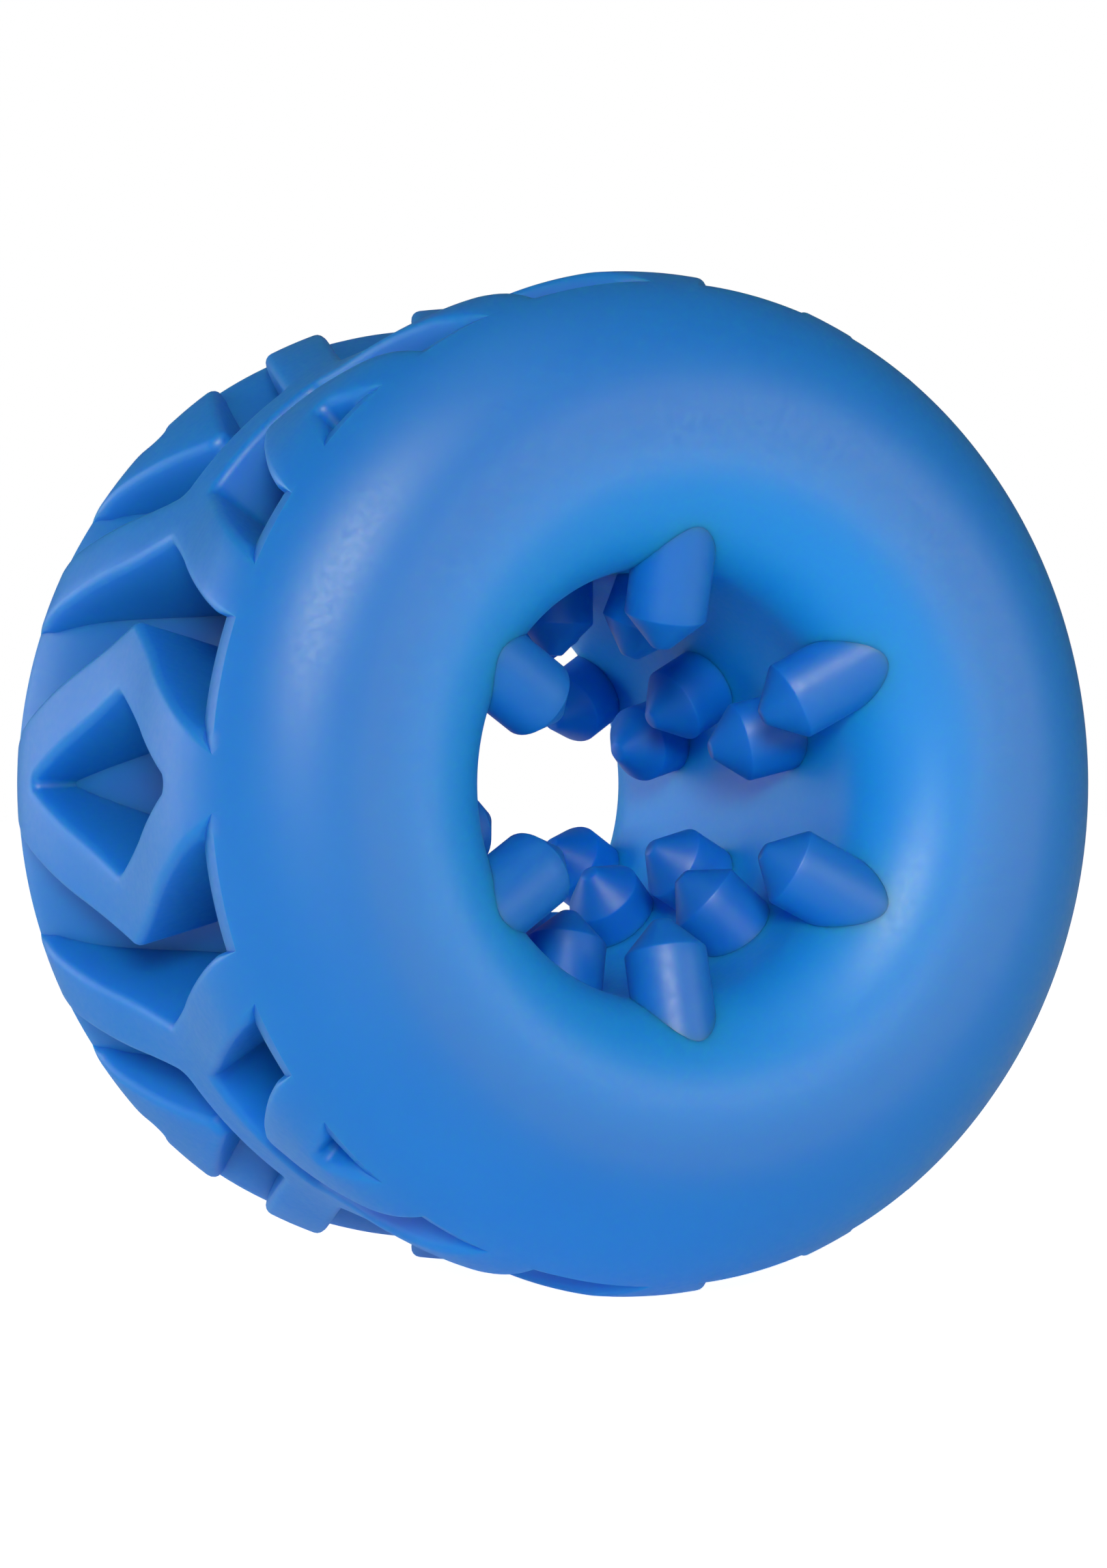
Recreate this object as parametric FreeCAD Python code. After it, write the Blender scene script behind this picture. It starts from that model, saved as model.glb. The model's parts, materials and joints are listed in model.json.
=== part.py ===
"""A one-hand squeeze ring: a soft elastomer roller with two rounded lobes, a waist between them that
carries a lattice of raised ribs, and a through bore lined with flexible nubs.

Frame: millimetres, +Z up, the bore's axis along Y, the front lobe on -Y, the origin in the middle.
A profile point is (radius from the bore's axis, distance along Y).
"""
import FreeCAD, Part
import math
import os

from FreeCAD import Vector

# ---- driving dimensions ------------------------------------------------------------------------
EDGE_R = 31.0                      # radius of the sharp edge where a lobe meets the waist
EDGE_Y = 0.514 * EDGE_R            # distance of that edge from the middle plane
CREST_R = 1.033 * EDGE_R           # largest radius of the tread and of the lobes
CREST_Y = 0.380 * EDGE_R           # where along Y the tread is at that radius
SADDLE_R = 1.000 * EDGE_R          # radius of the rib tops at the middle plane
FLOOR_R = 0.760 * EDGE_R           # radius of the waist's floor at the middle plane
BORE_R = 0.433 * EDGE_R            # radius of the bore's wall
THROAT_ARC_R = 0.220 * EDGE_R      # rounding of a lobe into the bore
OUTER_ARC_R = 0.288 * EDGE_R       # rounding of a lobe out to the crest
HALF_WIDTH = CREST_Y + OUTER_ARC_R  # from the middle plane to the front of a lobe
CORE_SPLIT_Y = 0.125 * EDGE_R      # half the length of the middle slice of the core

PITCH_DEG = 90.0                   # the tread repeats four times round
RIB_WIDTH = 0.135 * EDGE_R         # width of a rib at its top
DIAMOND_CORNER_DEG = 14.9          # rib centre lines, as angles from the middle of a diamond
LINK_APEX_DEG = 33.5
LINK_END_DEG = 21.4
CHEVRON_END_DEG = 8.3              # angle from the middle of a chevron
CHEVRON_APEX_Y = 0.240 * EDGE_R

NUB_R = 0.083 * EDGE_R             # radius of a nub's shaft
NUB_TIP_R = 0.018 * EDGE_R         # radius of the flat on its tip
NUB_REF_R = 0.350 * EDGE_R         # the places of a nub are counted from where its axis is at this radius
NUB_SHOULDER = 0.0144 * EDGE_R     # from there to the shoulder, along the axis
NUB_TIP = 0.0803 * EDGE_R          # and to the tip
NUB_LEAN_DEG = 15.8                # lean of the outer rows towards the middle plane
NUBS_PER_ROW = 6
FLEX_RISE = 0.055 * EDGE_R         # height of a nub's flexing point over the wall
SOCKET_GAP = 0.1                   # clearance round the rounded root of a nub

FRONT_ROW_Y = -0.4813 * EDGE_R     # place of each row's nubs along Y, at NUB_REF_R
INNER_ROW_Y = -0.2235 * EDGE_R

# row name, Y at NUB_REF_R, lean towards +Y in degrees, angle of the first nub
NUB_ROWS = (
    ("front", FRONT_ROW_Y, NUB_LEAN_DEG, 30.0),
    ("front_inner", INNER_ROW_Y, NUB_LEAN_DEG, 15.0),
    ("middle", 0.0, 0.0, 30.0),
    ("rear_inner", -INNER_ROW_Y, -NUB_LEAN_DEG, 15.0),
    ("rear", -FRONT_ROW_Y, -NUB_LEAN_DEG, 30.0),
)

AXIS = Vector(0, 1, 0)
ORIGIN = Vector(0, 0, 0)


# ---- profiles ----------------------------------------------------------------------------------
def at(radius, along):
    """A profile point in the half plane x > 0."""
    return Vector(radius, along, 0)


def line(start, end):
    """A straight edge."""
    return Part.LineSegment(start, end).toShape()


def arc(start, middle, end):
    """A circular edge through three points."""
    return Part.Arc(start, middle, end).toShape()


def s_curve(start, end):
    """Two equal arcs from start to end that leave and arrive along Y."""
    middle = (start + end) * 0.5
    half_y = abs(middle.y - start.y)
    half_r = abs(middle.x - start.x)
    radius = (half_y ** 2 + half_r ** 2) / (2 * half_r)
    turn = math.asin(half_y / radius) / 2
    side_r = math.copysign(radius * (1 - math.cos(turn)), end.x - start.x)
    side_y = math.copysign(radius * math.sin(turn), end.y - start.y)
    first = arc(start, Vector(start.x + side_r, start.y + side_y, 0), middle)
    second = arc(middle, Vector(end.x - side_r, end.y - side_y, 0), end)
    return [first, second]


def revolve(edges):
    """A closed profile turned once round the bore's axis."""
    face = Part.Face(Part.Wire(edges))
    return face.revolve(ORIGIN, AXIS, 360)


def mirror_y(point):
    """The same profile point on the other side of the middle plane."""
    return Vector(point.x, -point.y, 0)


def on_outer_arc(angle):
    """The point of the rear lobe's outer arc at an angle from the crest towards the lobe's end."""
    return at(CREST_R - OUTER_ARC_R, CREST_Y) + Vector(math.cos(angle), math.sin(angle), 0) * OUTER_ARC_R


def on_throat_arc(angle):
    """The point of the rear throat's arc at an angle from the bore's wall towards the lobe's end."""
    centre = at(BORE_R + THROAT_ARC_R, HALF_WIDTH - THROAT_ARC_R)
    return centre + Vector(-math.cos(angle), math.sin(angle), 0) * THROAT_ARC_R


def edge_tilt():
    """Angle on the outer arc at which the waist starts."""
    return math.asin((EDGE_Y - CREST_Y) / OUTER_ARC_R)


def throat_tilt():
    """Angle on the throat's arc that is level with the waist's edge."""
    return math.asin((EDGE_Y - HALF_WIDTH + THROAT_ARC_R) / THROAT_ARC_R)


def crest_edges(side):
    """The outer arc of one lobe between the sharp edge and the crest, side is -1 or 1."""
    points = [on_outer_arc(angle) for angle in (edge_tilt(), edge_tilt() / 2, 0.0)]
    return points if side > 0 else [mirror_y(p) for p in points]


# ---- the ring ----------------------------------------------------------------------------------
def lobe(side):
    """One rounded lobe, from the waist's edge out to the end of the ring."""
    quarter = math.pi / 2
    points = [
        on_outer_arc(edge_tilt()),
        on_outer_arc((edge_tilt() + quarter) / 2),
        on_outer_arc(quarter),
        on_throat_arc(quarter),
        on_throat_arc((throat_tilt() + quarter) / 2),
        on_throat_arc(throat_tilt()),
    ]
    if side < 0:
        points = [mirror_y(p) for p in points]
    edge, outer_mid, outer_end, throat_end, throat_mid, throat_start = points
    return revolve([
        arc(edge, outer_mid, outer_end),
        line(outer_end, throat_end),
        arc(throat_end, throat_mid, throat_start),
        line(throat_start, edge),
    ])


def core():
    """The sleeve round the bore between the two lobes, with the waist's floor as its outer face."""
    rear_edge = on_outer_arc(edge_tilt())
    front_edge = mirror_y(rear_edge)
    waist = at(FLOOR_R, 0)
    rear = [on_throat_arc(angle) for angle in (throat_tilt(), throat_tilt() / 2, 0.0)]
    inner = [mirror_y(p) for p in rear]
    edges = [line(inner[0], front_edge)]
    edges += s_curve(front_edge, waist)
    edges += s_curve(waist, rear_edge)
    edges += [line(rear_edge, rear[0]), arc(*rear), line(rear[2], inner[2]), arc(*reversed(inner))]
    return revolve(edges)


def slab(low_y, high_y):
    """A disc wider than the ring between two planes across the bore's axis."""
    return Part.makeCylinder(2 * EDGE_R, high_y - low_y, Vector(0, low_y, 0), AXIS)


def tread_band():
    """All the room that the ribs may fill: from the waist's floor up to the tread's crown."""
    front = crest_edges(-1)
    rear = crest_edges(1)
    waist = at(FLOOR_R, 0)
    saddle = at(SADDLE_R, 0)
    edges = [arc(*front)]
    edges += s_curve(front[2], saddle)
    edges += s_curve(saddle, rear[2])
    edges += [arc(rear[2], rear[1], rear[0])]
    edges += s_curve(rear[0], waist)
    edges += s_curve(waist, front[0])
    return revolve(edges)


# ---- the ribs ----------------------------------------------------------------------------------
def wedge(outline, middle_deg):
    """A block whose walls run straight in to the bore's axis, from an outline of (degrees, Y) points."""
    wires = []
    for reach in (0.6 * EDGE_R, 1.3 * EDGE_R):
        points = [Vector(reach * math.tan(math.radians(turn)), along, reach) for turn, along in outline]
        wires.append(Part.makePolygon(points + points[:1]))
    block = Part.makeLoft(wires, True, True)
    block.rotate(ORIGIN, AXIS, 90.0 - middle_deg)
    return block


def stroke(points, closed=False):
    """Outlines of a rib of RIB_WIDTH along a centre line of (degrees, Y) points, mitred at its bends.

    An open line gives one outline, whose feet run on past its ends.
    A closed line gives the outer outline and the inner one.
    """
    per_degree = math.radians(1.0) * EDGE_R
    line_points = [Vector(turn * per_degree, along, 0) for turn, along in points]
    count = len(line_points)
    left, right = [], []
    for index, point in enumerate(line_points):
        before = line_points[index - 1] if index or closed else None
        after = line_points[(index + 1) % count] if index < count - 1 or closed else None
        arriving = (point - before).normalize() if before else (after - point).normalize()
        leaving = (after - point).normalize() if after else arriving
        if before is None:
            point = point - leaving * RIB_WIDTH
        if after is None:
            point = point + arriving * RIB_WIDTH
        normal = Vector(-arriving.y - leaving.y, arriving.x + leaving.x, 0).normalize()
        across = normal * (RIB_WIDTH / 2 / normal.dot(Vector(-arriving.y, arriving.x, 0)))
        left.append(((point.x + across.x) / per_degree, point.y + across.y))
        right.append(((point.x - across.x) / per_degree, point.y - across.y))
    if closed:
        return left, right
    return left + right[::-1]


def trimmed(band, block):
    """A rib's block cut to the tread's floor and crown."""
    return block.common(band).removeSplitter()


def diamond(band, middle_deg):
    """A closed four-sided rib that spans the waist."""
    corners = [(-DIAMOND_CORNER_DEG, 0.0), (0.0, EDGE_Y), (DIAMOND_CORNER_DEG, 0.0), (0.0, -EDGE_Y)]
    outer, inner = stroke(corners, closed=True)
    return trimmed(band, wedge(outer, middle_deg).cut(wedge(inner, middle_deg)))


def link(band, middle_deg):
    """Two forks joined back to back by a rib along the middle plane."""
    apex = PITCH_DEG / 2 - LINK_APEX_DEG
    foot = PITCH_DEG / 2 - LINK_END_DEG
    half = RIB_WIDTH / 2
    bar = wedge([(-apex, -half), (apex, -half), (apex, half), (-apex, half)], middle_deg)
    forks = []
    for side in (-1, 1):
        centre_line = [(side * foot, -EDGE_Y), (side * apex, 0.0), (side * foot, EDGE_Y)]
        forks.append(wedge(stroke(centre_line), middle_deg))
    return trimmed(band, bar.multiFuse(forks))


def chevron(band, middle_deg, side):
    """A V of two ribs that stands on one lobe."""
    foot_y = side * EDGE_Y
    centre_line = [(-CHEVRON_END_DEG, foot_y), (0.0, side * CHEVRON_APEX_Y), (CHEVRON_END_DEG, foot_y)]
    return trimmed(band, wedge(stroke(centre_line), middle_deg))


# ---- the nubs ----------------------------------------------------------------------------------
def outward(angle_deg):
    """Unit vector away from the bore's axis."""
    angle = math.radians(angle_deg)
    return Vector(math.cos(angle), 0, math.sin(angle))


def wall_distance(row_y, lean_deg):
    """How far along a nub's axis, outwards from NUB_REF_R, the wall of the bore or throat is."""
    lean = math.radians(lean_deg)
    centre_r = BORE_R + THROAT_ARC_R
    centre_y = HALF_WIDTH - THROAT_ARC_R
    reach = (BORE_R - NUB_REF_R) / math.cos(lean)
    along = abs(row_y - reach * math.sin(lean))
    while along > centre_y:
        wall_r = centre_r - math.sqrt(THROAT_ARC_R ** 2 - (along - centre_y) ** 2)
        longer = (wall_r - NUB_REF_R) / math.cos(lean)
        if abs(longer - reach) < 1e-4:
            break
        reach = longer
        along = abs(row_y - reach * math.sin(lean))
    return reach


def nub_axis(row_y, lean_deg, angle_deg):
    """The reference point of a nub, its direction to the tip, and its flexing point."""
    lean = math.radians(lean_deg)
    out = outward(angle_deg)
    reference = out * NUB_REF_R + AXIS * row_y
    direction = AXIS * math.sin(lean) - out * math.cos(lean)
    flex = reference - direction * (wall_distance(row_y, lean_deg) - FLEX_RISE)
    return reference, direction, flex


def nub(row_y, lean_deg, angle_deg):
    """A round shaft with a blunt cone on its tip and a ball-shaped root."""
    reference, direction, flex = nub_axis(row_y, lean_deg, angle_deg)
    shoulder = reference + direction * NUB_SHOULDER
    shaft = Part.makeCylinder(NUB_R, (shoulder - flex).Length, flex, direction)
    cone = Part.makeCone(NUB_R, NUB_TIP_R, NUB_TIP - NUB_SHOULDER, shoulder, direction)
    root = Part.makeSphere(NUB_R, flex, direction)
    return shaft.multiFuse([cone, root]).removeSplitter()


def sockets():
    """The hollows in the walls for the roots of all the nubs."""
    balls = []
    for _, row_y, lean_deg, first_deg in NUB_ROWS:
        for count in range(NUBS_PER_ROW):
            angle_deg = first_deg + count * 360.0 / NUBS_PER_ROW
            _, direction, flex = nub_axis(row_y, lean_deg, angle_deg)
            balls.append(Part.makeSphere(NUB_R + SOCKET_GAP, flex, direction))
    return balls


# ---- the assembly ------------------------------------------------------------------------------
def build():
    """All the sub-parts by name."""
    band = tread_band()
    balls = sockets()
    sleeve = core().cut(balls)
    parts = {
        "front_lobe": lobe(-1).cut(balls),
        "rear_lobe": lobe(1).cut(balls),
        "core_front": sleeve.common(slab(-EDGE_Y, -CORE_SPLIT_Y)),
        "core_middle": sleeve.common(slab(-CORE_SPLIT_Y, CORE_SPLIT_Y)),
        "core_rear": sleeve.common(slab(CORE_SPLIT_Y, EDGE_Y)),
    }
    for count in range(4):
        middle = count * PITCH_DEG
        between = middle + PITCH_DEG / 2
        name = str(count + 1)
        parts["diamond_rib_" + name] = diamond(band, middle)
        parts["link_rib_" + name] = link(band, between)
        parts["front_chevron_rib_" + name] = chevron(band, between, -1)
        parts["rear_chevron_rib_" + name] = chevron(band, between, 1)
    for row, row_y, lean_deg, first_deg in NUB_ROWS:
        for count in range(NUBS_PER_ROW):
            angle_deg = first_deg + count * 360.0 / NUBS_PER_ROW
            parts["nub_" + row + "_" + str(count + 1)] = nub(row_y, lean_deg, angle_deg)
    return parts


def main():
    """Write one STEP file for each sub-part."""
    os.makedirs("parts", exist_ok=True)
    for name, shape in build().items():
        solids = len(shape.Solids)
        print(name, "solids", solids, "volume", round(shape.Volume, 2), "valid", shape.isValid())
        shape.exportStep(os.path.join("parts", name + ".step"))


main()
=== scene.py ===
"""Visual model of a one-hand squeeze ring, moulded in one piece from a translucent blue elastomer.

Two rounded lobes stand either side of a waist, and a lattice of raised ribs is moulded into the waist.
Thirty flexible nubs line the through bore. Metres, +Z up, the bore's axis along Y, the front lobe on -Y.
Proportions are shares of the edge radius, where a lobe meets the waist, and that radius is read from the
frame. A place on the ring is a turn round the bore (radians, 0 on +X, towards +Z) and a distance along Y.
"""
import json
import logging
import math
from dataclasses import dataclass, field
from enum import Enum
from typing import Iterable, Optional

import bpy
import numpy as np
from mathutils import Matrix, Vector
from mathutils.geometry import delaunay_2d_cdt

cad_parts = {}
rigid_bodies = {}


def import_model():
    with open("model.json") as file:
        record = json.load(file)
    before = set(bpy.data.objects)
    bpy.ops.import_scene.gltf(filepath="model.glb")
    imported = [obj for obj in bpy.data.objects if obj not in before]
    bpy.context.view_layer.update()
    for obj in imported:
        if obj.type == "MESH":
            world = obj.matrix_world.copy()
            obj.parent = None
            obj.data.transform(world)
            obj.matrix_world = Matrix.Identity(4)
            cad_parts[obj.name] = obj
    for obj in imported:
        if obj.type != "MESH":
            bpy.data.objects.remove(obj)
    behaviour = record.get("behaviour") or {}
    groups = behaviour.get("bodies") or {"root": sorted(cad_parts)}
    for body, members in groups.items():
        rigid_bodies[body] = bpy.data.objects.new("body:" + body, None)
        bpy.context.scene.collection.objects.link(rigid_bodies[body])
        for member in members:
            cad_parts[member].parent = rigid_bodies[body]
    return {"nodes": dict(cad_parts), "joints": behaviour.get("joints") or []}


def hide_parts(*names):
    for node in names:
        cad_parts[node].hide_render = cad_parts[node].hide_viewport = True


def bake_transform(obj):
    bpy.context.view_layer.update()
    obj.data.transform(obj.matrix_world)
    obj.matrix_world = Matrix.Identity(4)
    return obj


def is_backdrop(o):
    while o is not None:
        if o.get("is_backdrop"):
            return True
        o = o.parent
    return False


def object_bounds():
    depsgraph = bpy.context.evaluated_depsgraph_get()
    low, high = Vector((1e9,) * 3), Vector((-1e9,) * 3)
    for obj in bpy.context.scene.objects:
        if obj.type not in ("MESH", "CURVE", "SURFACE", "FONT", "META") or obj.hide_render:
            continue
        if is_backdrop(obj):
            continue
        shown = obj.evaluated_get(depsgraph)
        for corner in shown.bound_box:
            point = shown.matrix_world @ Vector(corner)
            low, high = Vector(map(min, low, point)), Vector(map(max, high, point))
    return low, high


LOG = logging.getLogger("squeeze_ring")
QUARTER_TURN = math.pi / 2
MM = 0.001
MERGE = 1e-5                           # points of a plan that are nearer than this become one


class Slot(Enum):
    """The record's material slots."""

    RING = "blue_elastomer_ring"
    NUBS = "blue_elastomer_nubs"


class Level(Enum):
    """What a line round a rib's wall is part of."""

    FILLET = "fillet"
    WALL = "wall"
    FOOT = "foot"


# ---- small helpers -----------------------------------------------------------------------------
def linear_colour(code: str) -> tuple[float, float, float, float]:
    """Turn an sRGB hex colour into the linear one that shaders take.

    Args:
        code: Six hex digits after a hash sign.

    Returns:
        Red, green, blue and an alpha of 1.
    """
    channels = []
    for start in (1, 3, 5):
        value = int(code[start:start + 2], 16) / 255
        channels.append(value / 12.92 if value <= 0.04045 else ((value + 0.055) / 1.055) ** 2.4)
    return channels[0], channels[1], channels[2], 1.0


def add_node(tree: bpy.types.NodeTree, kind: str, settings: Optional[dict] = None,
             inputs: Optional[dict] = None) -> bpy.types.Node:
    """Add a node with its settings, its values and its links.

    Args:
        tree: The node tree to add to.
        kind: The node's type name.
        settings: Attribute names and values.
        inputs: Input names or numbers, each with a value or with the output socket to link from.

    Returns:
        The new node.
    """
    node = tree.nodes.new(kind)
    for name, value in (settings or {}).items():
        setattr(node, name, value)
    for name, value in (inputs or {}).items():
        if isinstance(value, bpy.types.NodeSocket):
            tree.links.new(value, node.inputs[name])
        else:
            node.inputs[name].default_value = value
    return node


def link_object(name: str, mesh: bpy.types.Mesh) -> bpy.types.Object:
    """Put a mesh into the scene as an object at the origin.

    Args:
        name: The object's name.
        mesh: Its mesh.

    Returns:
        The new object.
    """
    made = bpy.data.objects.new(name, mesh)
    bpy.context.scene.collection.objects.link(made)
    return made


def realised(name: str, source: bpy.types.Mesh, tree: bpy.types.NodeTree,
             values: dict) -> bpy.types.Object:
    """Run a geometry tree on a mesh and keep its result as a plain mesh.

    Args:
        name: The finished piece's name.
        source: The mesh that the tree starts from.
        tree: The geometry node tree.
        values: Input names of the tree and their values.

    Returns:
        A new object with no modifier, at the origin.
    """
    carrier = link_object(name + "_carrier", source)
    modifier = carrier.modifiers.new("build", "NODES")
    modifier.node_group = tree
    for item in tree.interface.items_tree:
        if item.item_type == "SOCKET" and item.in_out == "INPUT" and item.name in values:
            modifier[item.identifier] = values[item.name]
    bpy.context.view_layer.update()
    graph = bpy.context.evaluated_depsgraph_get()
    mesh = bpy.data.meshes.new_from_object(carrier.evaluated_get(graph), depsgraph=graph)
    carrier.modifiers.remove(modifier)
    bpy.data.objects.remove(carrier)
    mesh.name = name
    return link_object(name, mesh)


# ---- the moulding's section --------------------------------------------------------------------
@dataclass(frozen=True)
class Section:
    """Half section of the ring; all but the first are shares of the edge radius."""

    edge: float                    # metres, radius of the edge where a lobe meets the waist
    edge_y: float = 0.514          # distance of that edge from the middle plane
    crest_r: float = 1.033         # largest radius
    crest_y: float = 0.380         # where along Y that is
    saddle_r: float = 1.000        # radius of the rib tops at the middle plane
    floor_depth: float = 0.240     # depth of the waist's floor at the middle plane
    lip: float = 0.028             # level strip between the edge and the floor's slope
    steep_share: float = 0.2       # share of the floor's depth that falls steeply from the lip
    steep_power: float = 0.8       # and the power of that fall
    bore_r: float = 0.433          # radius of the bore's wall
    throat_arc: float = 0.220      # rounding of a lobe into the bore
    outer_arc: float = 0.288       # rounding of a lobe out to the crest
    arc_rows: int = 14             # rows of the mesh over each of those roundings
    flat_rows: int = 3             # over the flat between them
    bore_rows: int = 12            # and from a rounding to the middle of the bore

    @property
    def edge_tilt(self) -> float:
        """Angle on the outer arc at which the waist cuts it."""
        return math.asin((self.edge_y - self.crest_y) / self.outer_arc)

    @property
    def edge_r(self) -> float:
        """Radius of the lobe's surface at the edge."""
        return self.crest_r - self.outer_arc * (1 - math.cos(self.edge_tilt))

    @property
    def front_y(self) -> float:
        """Distance of a lobe's front from the middle plane."""
        return self.crest_y + self.outer_arc

    def crown(self, along: np.ndarray) -> np.ndarray:
        """Radius of the rib tops.

        Args:
            along: Distances along Y.

        Returns:
            The radius at each of them.
        """
        along = np.minimum(np.abs(along), self.edge_y)
        half_y = self.crest_y / 2
        half_r = (self.crest_r - self.saddle_r) / 2
        bend = (half_y ** 2 + half_r ** 2) / (2 * half_r)
        outer = self.crest_r - self.outer_arc
        outer = outer + np.sqrt(self.outer_arc ** 2 - np.maximum(along - self.crest_y, 0) ** 2)
        upper = self.crest_r - bend + np.sqrt(bend ** 2 - np.clip(self.crest_y - along, 0, half_y) ** 2)
        lower = self.saddle_r + bend - np.sqrt(bend ** 2 - np.clip(along, 0, half_y) ** 2)
        return np.where(along > self.crest_y, outer, np.where(along > half_y, upper, lower))

    def floor(self, along: np.ndarray) -> np.ndarray:
        """Radius of the waist's floor.

        Args:
            along: Distances along Y.

        Returns:
            The radius at each of them.
        """
        start = self.edge_y - self.lip
        share = np.clip((start - np.abs(along)) / start, 0, 1)
        smooth = share ** 2 * (3 - 2 * share)
        slope = (1 - self.steep_share) * smooth + self.steep_share * share ** self.steep_power
        return self.edge_r - self.floor_depth * slope

    def lobe_rows(self) -> list[tuple[float, float, float]]:
        """Rows of the mesh over the lobe, the throat and the bore, from the edge on.

        Returns:
            For each row, the distance along the section, the radius and the distance along Y.
        """
        outer_centre = (self.crest_r - self.outer_arc, self.crest_y)
        throat_centre = (self.bore_r + self.throat_arc, self.front_y - self.throat_arc)
        rows = []
        for angle in np.linspace(self.edge_tilt, QUARTER_TURN, self.arc_rows + 1)[1:]:
            rows.append((outer_centre[0] + self.outer_arc * math.cos(angle),
                         outer_centre[1] + self.outer_arc * math.sin(angle)))
        for share in np.linspace(0, 1, self.flat_rows + 1)[1:]:
            rows.append((outer_centre[0] + share * (throat_centre[0] - outer_centre[0]), self.front_y))
        for angle in np.linspace(QUARTER_TURN, math.pi, self.arc_rows + 1)[1:]:
            rows.append((throat_centre[0] + self.throat_arc * math.cos(angle),
                         throat_centre[1] + self.throat_arc * math.sin(angle)))
        for share in np.linspace(0, 1, self.bore_rows + 1)[1:]:
            rows.append((self.bore_r, throat_centre[1] * (1 - share)))
        placed = []
        run, last = self.edge_y, (self.edge_r, self.edge_y)
        for radius, along in rows:
            run += math.hypot(radius - last[0], along - last[1])
            last = (radius, along)
            placed.append((run, radius, along))
        return placed


# ---- the tread ---------------------------------------------------------------------------------
@dataclass
class Outline:
    """The rounded edge of a flat rib top, as points with normals towards the pocket."""

    points: np.ndarray
    normals: np.ndarray


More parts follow.
